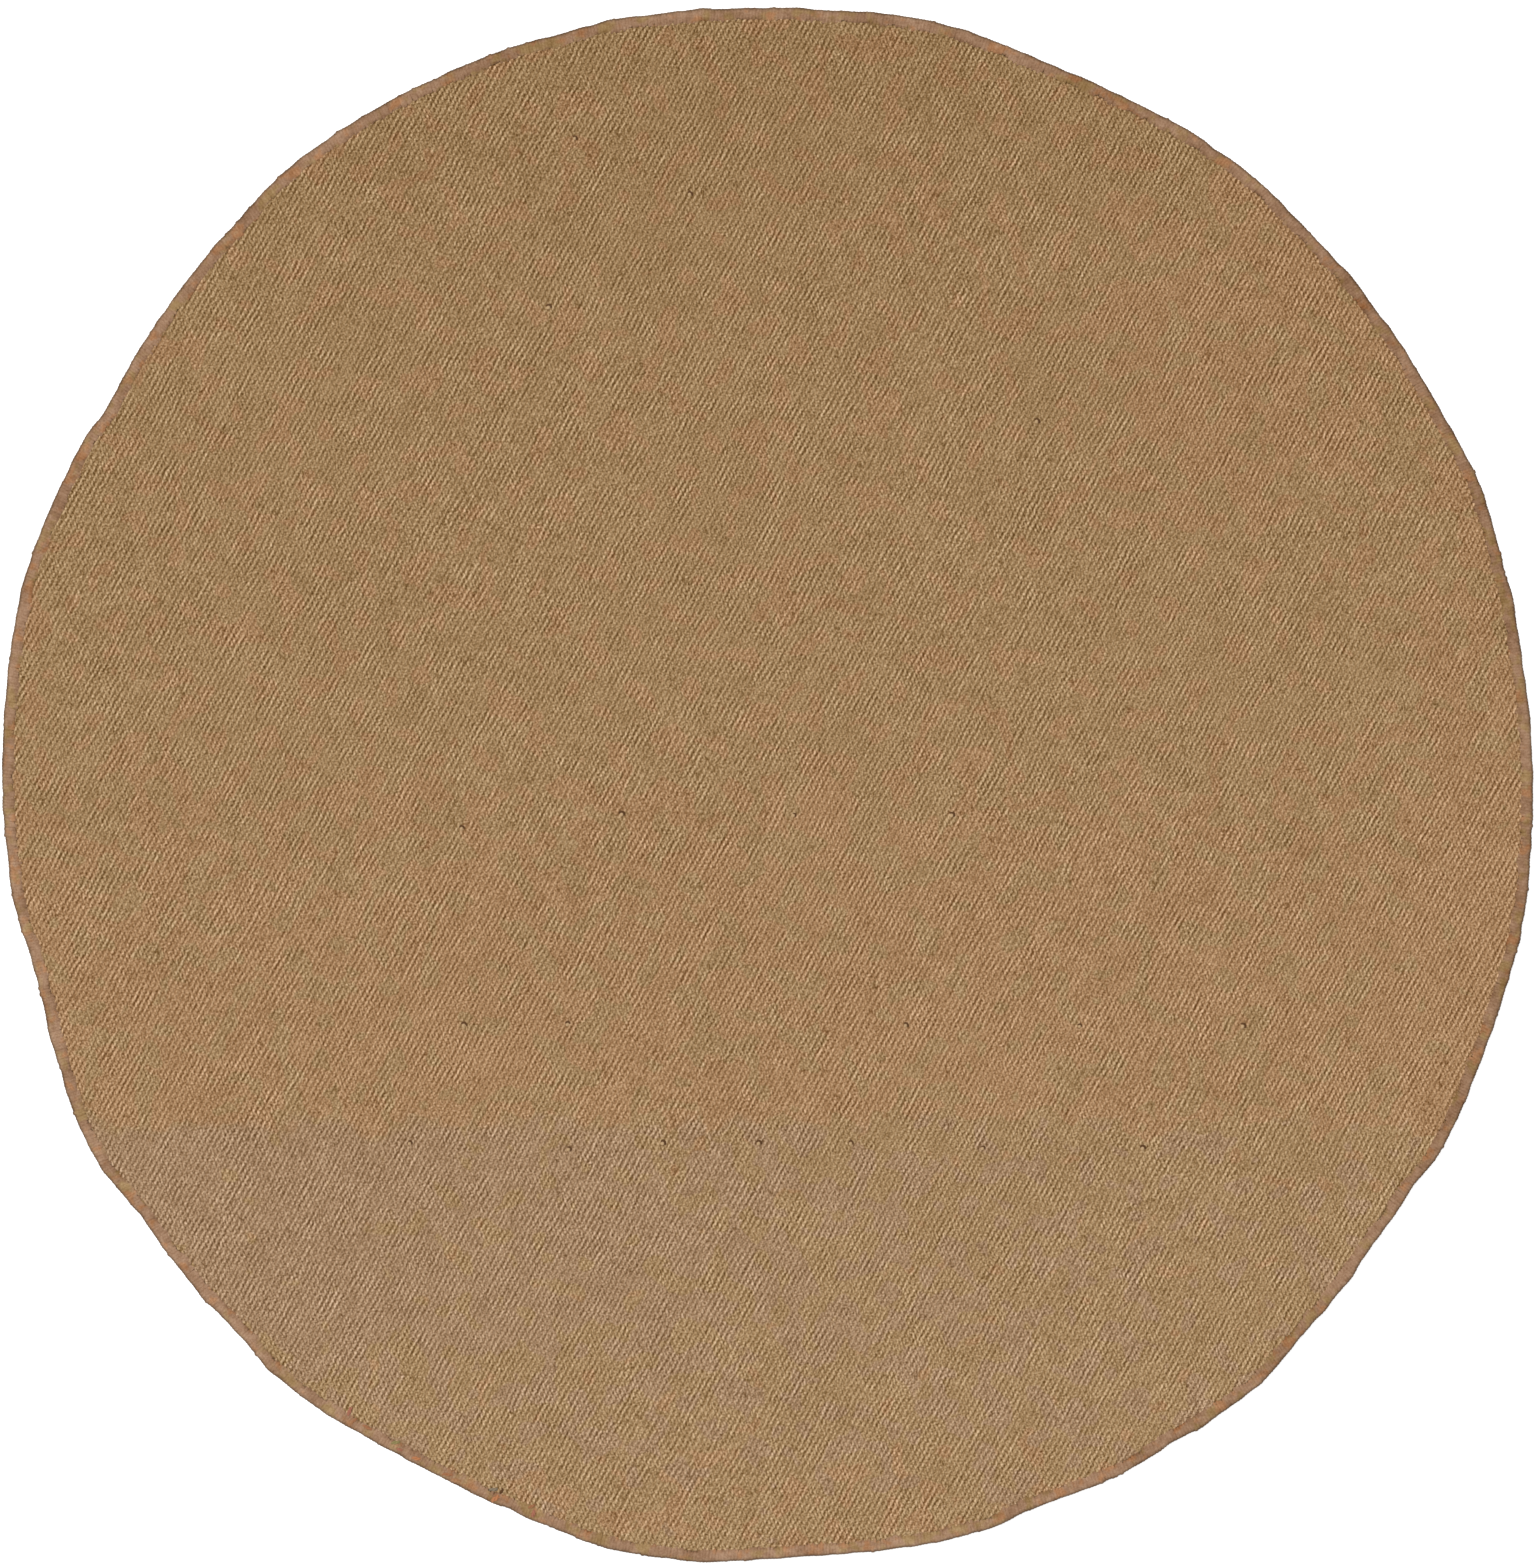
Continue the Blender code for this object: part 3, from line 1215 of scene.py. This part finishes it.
        dice = np.random.default_rng(self.seed)
        lean = (self.lean + self.lean_uneven * dice.standard_normal(self.stitches))[numbers]
        aside = (self.side_uneven * dice.standard_normal(self.stitches))[numbers]
        out = self.stands_out + self.out_uneven * dice.standard_normal(self.stitches)
        nub = dice.random(self.stitches) < self.nub_share
        out += nub * dice.uniform(self.nub_least, self.nub_most, self.stitches)
        bearings = np.arange(self.stitches) * step
        out += self.ripples(bearings, self.ripple_waves, self.ripple, dice) + self.tufted(bearings)
        reach = self.reach_uneven * dice.standard_normal(self.stitches)
        reach += self.ripples(bearings, self.reach_waves, self.reach_ripple, dice)
        depth = inset / (self.stations[0].inset_mm * MM)
        inset -= out[numbers] * (1 - smooth_step(depth, *self.stands_out_until))
        inset += reach[numbers] * depth
        sideways += aside + lean * depth * np.where(points[:, 2] > self.upper_half, 1, -1)

        turned = numbers * step + sideways / self.rim.mean_radius
        radius = self.rim.radius(turned) - inset
        points[:, 0] = radius * np.cos(turned)
        points[:, 1] = radius * np.sin(turned)
        set_mesh_points(mesh, points)
        return numbers

    @staticmethod
    def ripples(turns: np.ndarray, waves: Sequence[int], height: float,
                dice: np.random.Generator) -> np.ndarray:
        """Add up even ripples round the rim.

        Args:
            turns: Each wrap's place round the rim.
            waves: How many waves each ripple has.
            height: How high each ripple is.
            dice: Where the ripples' starts come from.

        Returns:
            How high the ripples stand at each wrap.
        """
        line = np.zeros_like(turns)
        for count in waves:
            line += height * np.sin(count * turns + dice.uniform(0, math.tau))
        return line

    def tufted(self, turns: np.ndarray) -> np.ndarray:
        """Work out how far a few tufts stand out of the wraps' line.

        Args:
            turns: Each wrap's place round the rim.

        Returns:
            How far each wrap stands out.
        """
        line = np.zeros_like(turns)
        for tuft in self.tufts:
            away = (np.degrees(turns) - tuft.bearing + 180) % 360 - 180
            line += tuft.stands_out_mm * MM * np.exp(-((away / self.tuft_half_width) ** 2))
        return line

    def write_maps(self, mesh: bpy.types.Mesh, numbers: np.ndarray) -> None:
        """Lay the wraps out in rows on a square, each wrap upright and beside the next.

        Args:
            mesh: The wraps.
            numbers: The number of the wrap that each point belongs to.
        """
        flat = np.empty(len(mesh.loops) * 2, dtype=np.float32)
        mesh.uv_layers[YARN_MAP].data.foreach_get("uv", flat)
        around, along = flat.reshape(-1, 2).T
        row, column = np.divmod(numbers[corner_points(mesh)], self.stitches_in_row)
        side, width = self.wrap_in_row
        foot, length = self.row_in_map
        rows = math.ceil(self.stitches / self.stitches_in_row)
        write_map(mesh, BAKE_MAP, np.column_stack((
            (column + side + width * around) / self.stitches_in_row,
            (row + foot + length * along) / rows)))


@dataclass(frozen=True)
class PhotoCamera:
    """A camera straight above the rug, framed as in the photograph."""

    frame_pixels: tuple[int, int] = (1537, 1568)
    middle: tuple[float, float] = (0.883 * MM, 0.752 * MM)
    frame_height: float = 1.52558
    lens_mm: float = 100.0
    sensor_mm: float = 36.0
    focus_height: float = 6.0 * MM
    clip_end: float = 50.0

    def on_rug(self, spot: PhotoSpot, height: float) -> Vector:
        """Find a spot of the photograph on the rug.

        Args:
            spot: The spot, in whole pixels that have their middles at whole numbers.
            height: How high over the floor the place is.

        Returns:
            The place that shows there.
        """
        wide, tall = self.frame_pixels
        scale = self.frame_height / tall
        return Vector((self.middle[0] + (spot.across + 0.5 - wide / 2) * scale,
                       self.middle[1] - (spot.down + 0.5 - tall / 2) * scale, height))

    def build(self) -> None:
        """Add the camera and make it the scene's own."""
        data = bpy.data.cameras.new("photo_camera")
        data.lens = self.lens_mm
        data.sensor_width = self.sensor_mm
        data.clip_end = self.clip_end
        camera = bpy.data.objects.new("photo_camera", data)
        distance = self.frame_height * self.lens_mm / self.sensor_mm
        camera.location = (*self.middle, self.focus_height + distance)
        bpy.context.scene.collection.objects.link(camera)
        bpy.context.scene.camera = camera


class YarnTail(NamedTuple):
    """An end of yarn tucked under the overcasting: where it shows, and how it lies."""

    spot: PhotoSpot
    bearing: float
    length_mm: float
    half_width_mm: float
    dye: Dye


@dataclass(frozen=True)
class TuckedEnds:
    """Short ends of odd-coloured yarn, caught under the wraps at one side of the rim."""

    camera: PhotoCamera
    tails: tuple[YarnTail, ...] = tuple(YarnTail(PhotoSpot(*row[:2]), *row[2:]) for row in (
        (349, 1411, 68, 10.0, 2.1, Dye.RED), (354, 1420, 40, 7.0, 1.6, Dye.RUST),
        (367, 1427, -28, 12.0, 1.8, Dye.RUST), (395, 1442, 3, 10.0, 1.9, Dye.GREEN),
        (399, 1449, -20, 7.0, 1.5, Dye.RED), (416, 1458, -12, 10.0, 2.1, Dye.ORANGE),
        (447, 1474, -6, 13.0, 1.9, Dye.RUST), (493, 1489, 2, 9.0, 1.9, Dye.SLATE),
        (501, 1491, 55, 6.0, 1.5, Dye.DARK), (495, 1498, 35, 10.0, 2.6, Dye.ORANGE),
        (533, 1513, 75, 8.0, 2.2, Dye.RED), (531, 1506, 20, 8.0, 1.8, Dye.RUST),
    ))
    height: float = 6.05 * MM
    ends_sink: float = 1.0 * MM
    plies: int = 2
    rings: int = 9
    sides: int = 6
    twists: float = 1.1
    ply_thickness: float = 0.55
    ply_aside: float = 0.45
    ply_rise: float = 0.2
    taper: float = 0.6

    def build(self) -> bpy.types.Object:
        """Model the ends, each of plies twisted round each other.

        Returns:
            The finished piece, without its material.
        """
        work = StrandWork()
        for tail in self.tails:
            for ply in range(self.plies):
                work.strand(partial(self.along_ply, tail, ply / self.plies), self.rings,
                            self.sides, tail.dye)
        return work.finish(Piece.ENDS)

    def along_ply(self, tail: YarnTail, start: float, share: float) -> tuple[Vector, float]:
        """Follow one ply of an end, which dips and thins at both tips.

        Args:
            tail: The end.
            start: Where its twist starts, as a share of a turn.
            share: The place along it, 0 to 1.

        Returns:
            The ply's middle and its radius there.
        """
        way = place_at(math.radians(tail.bearing))
        half_width = tail.half_width_mm * MM
        twist = math.tau * (start + self.twists * share)
        to_tip = 2 * share - 1
        point = self.camera.on_rug(tail.spot, self.height)
        point += way * (share - 0.5) * tail.length_mm * MM
        point += way.cross(UP) * math.cos(twist) * half_width * self.ply_aside
        point += UP * (math.sin(twist) * half_width * self.ply_rise - self.ends_sink * to_tip ** 4)
        return point, half_width * self.ply_thickness * (1 - self.taper * abs(to_tip) ** 3)


@dataclass(frozen=True)
class SlubKnots:
    """Thick knots in the twill's yarn: a pale nub with a dark loop tight behind it, a strand of
    painted shadow.
    """

    camera: PhotoCamera
    spots: tuple[PhotoSpot, ...] = tuple(PhotoSpot(*row) for row in (
        (548, 307), (1036, 421), (567, 1024), (905, 1025), (463, 1025), (1079, 1026), (1242, 1026),
        (621, 814), (793, 815), (951, 815), (461, 828), (568, 1149), (982, 1148), (1142, 1148),
        (409, 1143), (662, 1143), (758, 1143), (850, 1143), (574, 138), (689, 194),
    ))
    rib_bearing: float = TwillField.rib_bearing
    height: float = 6.0 * MM
    least_size: float = 0.85
    most_size: float = 1.2
    nub_size: tuple[float, float, float] = (1.9 * MM, 1.5 * MM, 0.95 * MM)
    loop_radius: float = 2.4 * MM
    loop_thickness: float = 1.0 * MM
    loop_turn: float = 150.0
    loop_uneven: float = 25.0
    loop_rings: int = 8
    loop_sides: int = 5
    seed: int = 21

    def build(self) -> bpy.types.Object:
        """Model the knots.

        Returns:
            The finished piece, without its material.
        """
        work = StrandWork()
        dice = np.random.default_rng(self.seed)
        for spot in self.spots:
            middle = self.camera.on_rug(spot, self.height)
            size = dice.uniform(self.least_size, self.most_size)
            work.nub(Matrix.Translation(middle)
                     @ Matrix.Rotation(math.radians(self.rib_bearing), 4, "Z")
                     @ Matrix.Diagonal((*(size * side for side in self.nub_size), 1)), Dye.STRAW)
            # The dark loop behind the nub is painted shadow.
            bearing = self.rib_bearing + dice.uniform(-self.loop_uneven, self.loop_uneven)
            work.strand(partial(self.along_shadow_loop, middle, size, bearing), self.loop_rings,
                        self.loop_sides, Dye.DARK)
        return work.finish(Piece.KNOTS)

    def along_shadow_loop(self, middle: Vector, size: float, bearing: float,
                   share: float) -> tuple[Vector, float]:
        """Follow the dark loop of painted shadow on the far side of a nub.

        Args:
            middle: The nub's middle.
            size: How big this knot is, where 1 is a usual one.
            bearing: The side of the nub on which the loop lies.
            share: The place along the loop, 0 to 1.

        Returns:
            The loop's middle line and its radius there.
        """
        turn = math.radians(bearing + self.loop_turn * (share - 0.5))
        out = place_at(turn) * self.loop_radius * size
        sink = self.loop_thickness * (2 * share - 1) ** 2
        return middle + out - UP * sink, self.loop_thickness * size


@dataclass(frozen=True)
class LooseFibres:
    """Fine stray fibres that stand off the cloth and off the yarn at its rim."""

    rim: Rim
    on_cloth: int = 420
    on_rim: int = 240
    shortest: float = 5 * MM
    longest: float = 15 * MM
    thickness: float = 0.22 * MM
    taper: float = 0.5
    cloth_height: float = 5.7 * MM
    lift: float = 0.8 * MM
    least_lift: float = 0.4
    bend: float = 0.28
    rim_keep_off: float = 16 * MM
    rim_inset: float = 1.2 * MM
    rim_reach: tuple[float, float] = (0.8, 1.6)
    rim_reach_unit: float = 2.6 * MM
    rim_height: float = 4.6 * MM
    rim_least_height: float = 0.3
    rim_slant: float = 1.0
    rings: int = 5
    sides: int = 3
    seed: int = 33

    def build(self) -> bpy.types.Object:
        """Model the fibres.

        Returns:
            The finished piece, without its material.
        """
        work = StrandWork()
        dice = np.random.default_rng(self.seed)
        for _ in range(self.on_cloth):
            turn = dice.uniform(0, math.tau)
            reach = math.sqrt(dice.random()) * (self.rim.mean_radius - self.rim_keep_off)
            way = place_at(dice.uniform(0, math.tau))
            length = dice.uniform(self.shortest, self.longest)
            self.add_fibre(work, dice, place_at(turn, reach, self.cloth_height), way, length,
                           self.lift, Dye.STRAW)
        for _ in range(self.on_rim):
            turn = dice.uniform(0, math.tau)
            reach = float(self.rim.radius(np.array([turn]))[0]) - self.rim_inset
            height = self.rim_height * dice.uniform(self.rim_least_height, 1.0)
            way = place_at(turn + dice.uniform(-self.rim_slant, self.rim_slant))
            length = self.rim_reach_unit * dice.uniform(*self.rim_reach)
            self.add_fibre(work, dice, place_at(turn, reach, height), way, length, 0.0, Dye.TAN)
        return work.finish(Piece.FIBRES)

    def add_fibre(self, work: StrandWork, dice: np.random.Generator, start: Vector, way: Vector,
                  length: float, lift: float, dye: Dye) -> None:
        """Model one fibre, bent sideways and lifted a little at its middle.

        Args:
            work: The strands in the making.
            dice: Where its bend and its rise come from.
            start: Its first point.
            way: Which way it runs.
            length: How long it is.
            lift: How far its middle may rise.
            dye: Its colour.
        """
        bow = dice.uniform(-self.bend, self.bend) * length
        rise = dice.uniform(self.least_lift, 1.0) * lift

        def along_fibre(share: float) -> tuple[Vector, float]:
            """Follow the fibre.

            Args:
                share: The place along it, 0 to 1.

            Returns:
                Its middle and its radius there.
            """
            arch = 4 * share * (1 - share)
            point = start + way * length * share + way.cross(UP) * bow * arch + UP * rise * arch
            return point, self.thickness / 2 * (1 - self.taper * share)

        work.strand(along_fibre, self.rings, self.sides, dye)


@dataclass(frozen=True)
class Studio:
    """Plain white floor, an even sky of light and one broad soft lamp from the upper left."""

    sky: float = 0.75
    lamp: float = 0.40
    lamp_bearing: float = 140.0
    lamp_elevation: float = 55.0
    lamp_spread: float = 40.0
    lamp_distance: float = 3.0
    lost_in_weave: float = 0.11
    floor_white: float = 0.95
    floor_glow: float = 0.45
    floor_size: float = 40.0
    floor_drop: float = 0.2 * MM

    @property
    def exposure(self) -> float:
        """How much light the weave sends back, where 1 shows its colour as it is."""
        return (self.sky + self.lamp) * (1 - self.lost_in_weave)

    def build(self) -> None:
        """Add the floor, the sky and the lamp."""
        bpy.context.scene.view_settings.view_transform = "Standard"
        self.add_sky()
        self.add_lamp()
        self.add_floor()

    def add_sky(self) -> None:
        """Light the rug evenly from all round."""
        world = bpy.data.worlds.new("even_sky")
        world.use_nodes = True
        background = world.node_tree.nodes["Background"]
        background.inputs["Color"].default_value = (1, 1, 1, 1)
        background.inputs["Strength"].default_value = self.sky
        bpy.context.scene.world = world

    def add_lamp(self) -> None:
        """Hang the broad soft lamp."""
        data = bpy.data.lights.new("soft_lamp", "SUN")
        rise = math.radians(self.lamp_elevation)
        data.energy = self.lamp * math.pi / math.sin(rise)
        data.angle = math.radians(self.lamp_spread)
        lamp = bpy.data.objects.new("soft_lamp", data)
        toward = place_at(math.radians(self.lamp_bearing), math.cos(rise), math.sin(rise))
        lamp.rotation_euler = toward.to_track_quat("Z", "Y").to_euler()
        lamp.location = toward * self.lamp_distance
        bpy.context.scene.collection.objects.link(lamp)

    def add_floor(self) -> None:
        """Lay the white floor just under the rug."""
        bm = bmesh.new()
        bmesh.ops.create_grid(bm, x_segments=1, y_segments=1, size=self.floor_size / 2)
        bmesh.ops.translate(bm, verts=bm.verts[:], vec=(0, 0, -self.floor_drop))
        floor = finish_piece(bm, "studio_floor")
        bench = NodeBench("plain_floor")
        bench.dry((*[self.floor_white] * 3, 1), 1.0, 0.0)
        bench.feed(bench.shader.inputs["Emission Color"], (1, 1, 1, 1))
        bench.feed(bench.shader.inputs["Emission Strength"], self.floor_glow)
        floor.data.materials.append(bench.material)


def dress(piece: bpy.types.Object, finish: bpy.types.Material, slot: Slot,
          *nodes: str) -> bpy.types.Object:
    """Give a piece its finish and its body, and report it.

    Args:
        piece: The piece.
        finish: Its material.
        slot: The record's material slot for its finish; not used.
        nodes: The nodes that it stands for.

    Returns:
        The same piece.
    """
    piece.data.materials.append(finish)
    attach(piece, "root")
    if nodes:
        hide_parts(*nodes)
    LOG.info("%s: %d points, %d faces", piece.name, len(piece.data.vertices),
             len(piece.data.polygons))
    return piece


def main() -> None:
    """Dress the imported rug: camera, studio, cloth, yarn and small details."""
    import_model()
    camera = PhotoCamera()
    camera.build()
    studio = Studio()
    studio.build()
    twill, yarn, strands = (finish(studio.exposure).build()
                            for finish in (TwillFinish, YarnFinish, StrandFinish))

    rim = Rim()
    field = TwillField(rim)
    cloth = dress(field.build(), twill, Slot.TWILL, "woven_field")
    edge = dress(OvercastEdge(rim).build(), yarn, Slot.YARN, "overcast_edge")
    ends = dress(TuckedEnds(camera).build(), strands, Slot.YARN)
    knots = dress(SlubKnots(camera).build(), strands, Slot.TWILL)
    fibres = dress(LooseFibres(rim).build(), strands, Slot.TWILL)

    field.flat_size()
    field.flat_area()


if __name__ == "__main__":
    logging.basicConfig(level=logging.INFO, format="%(name)s %(message)s")
    main()
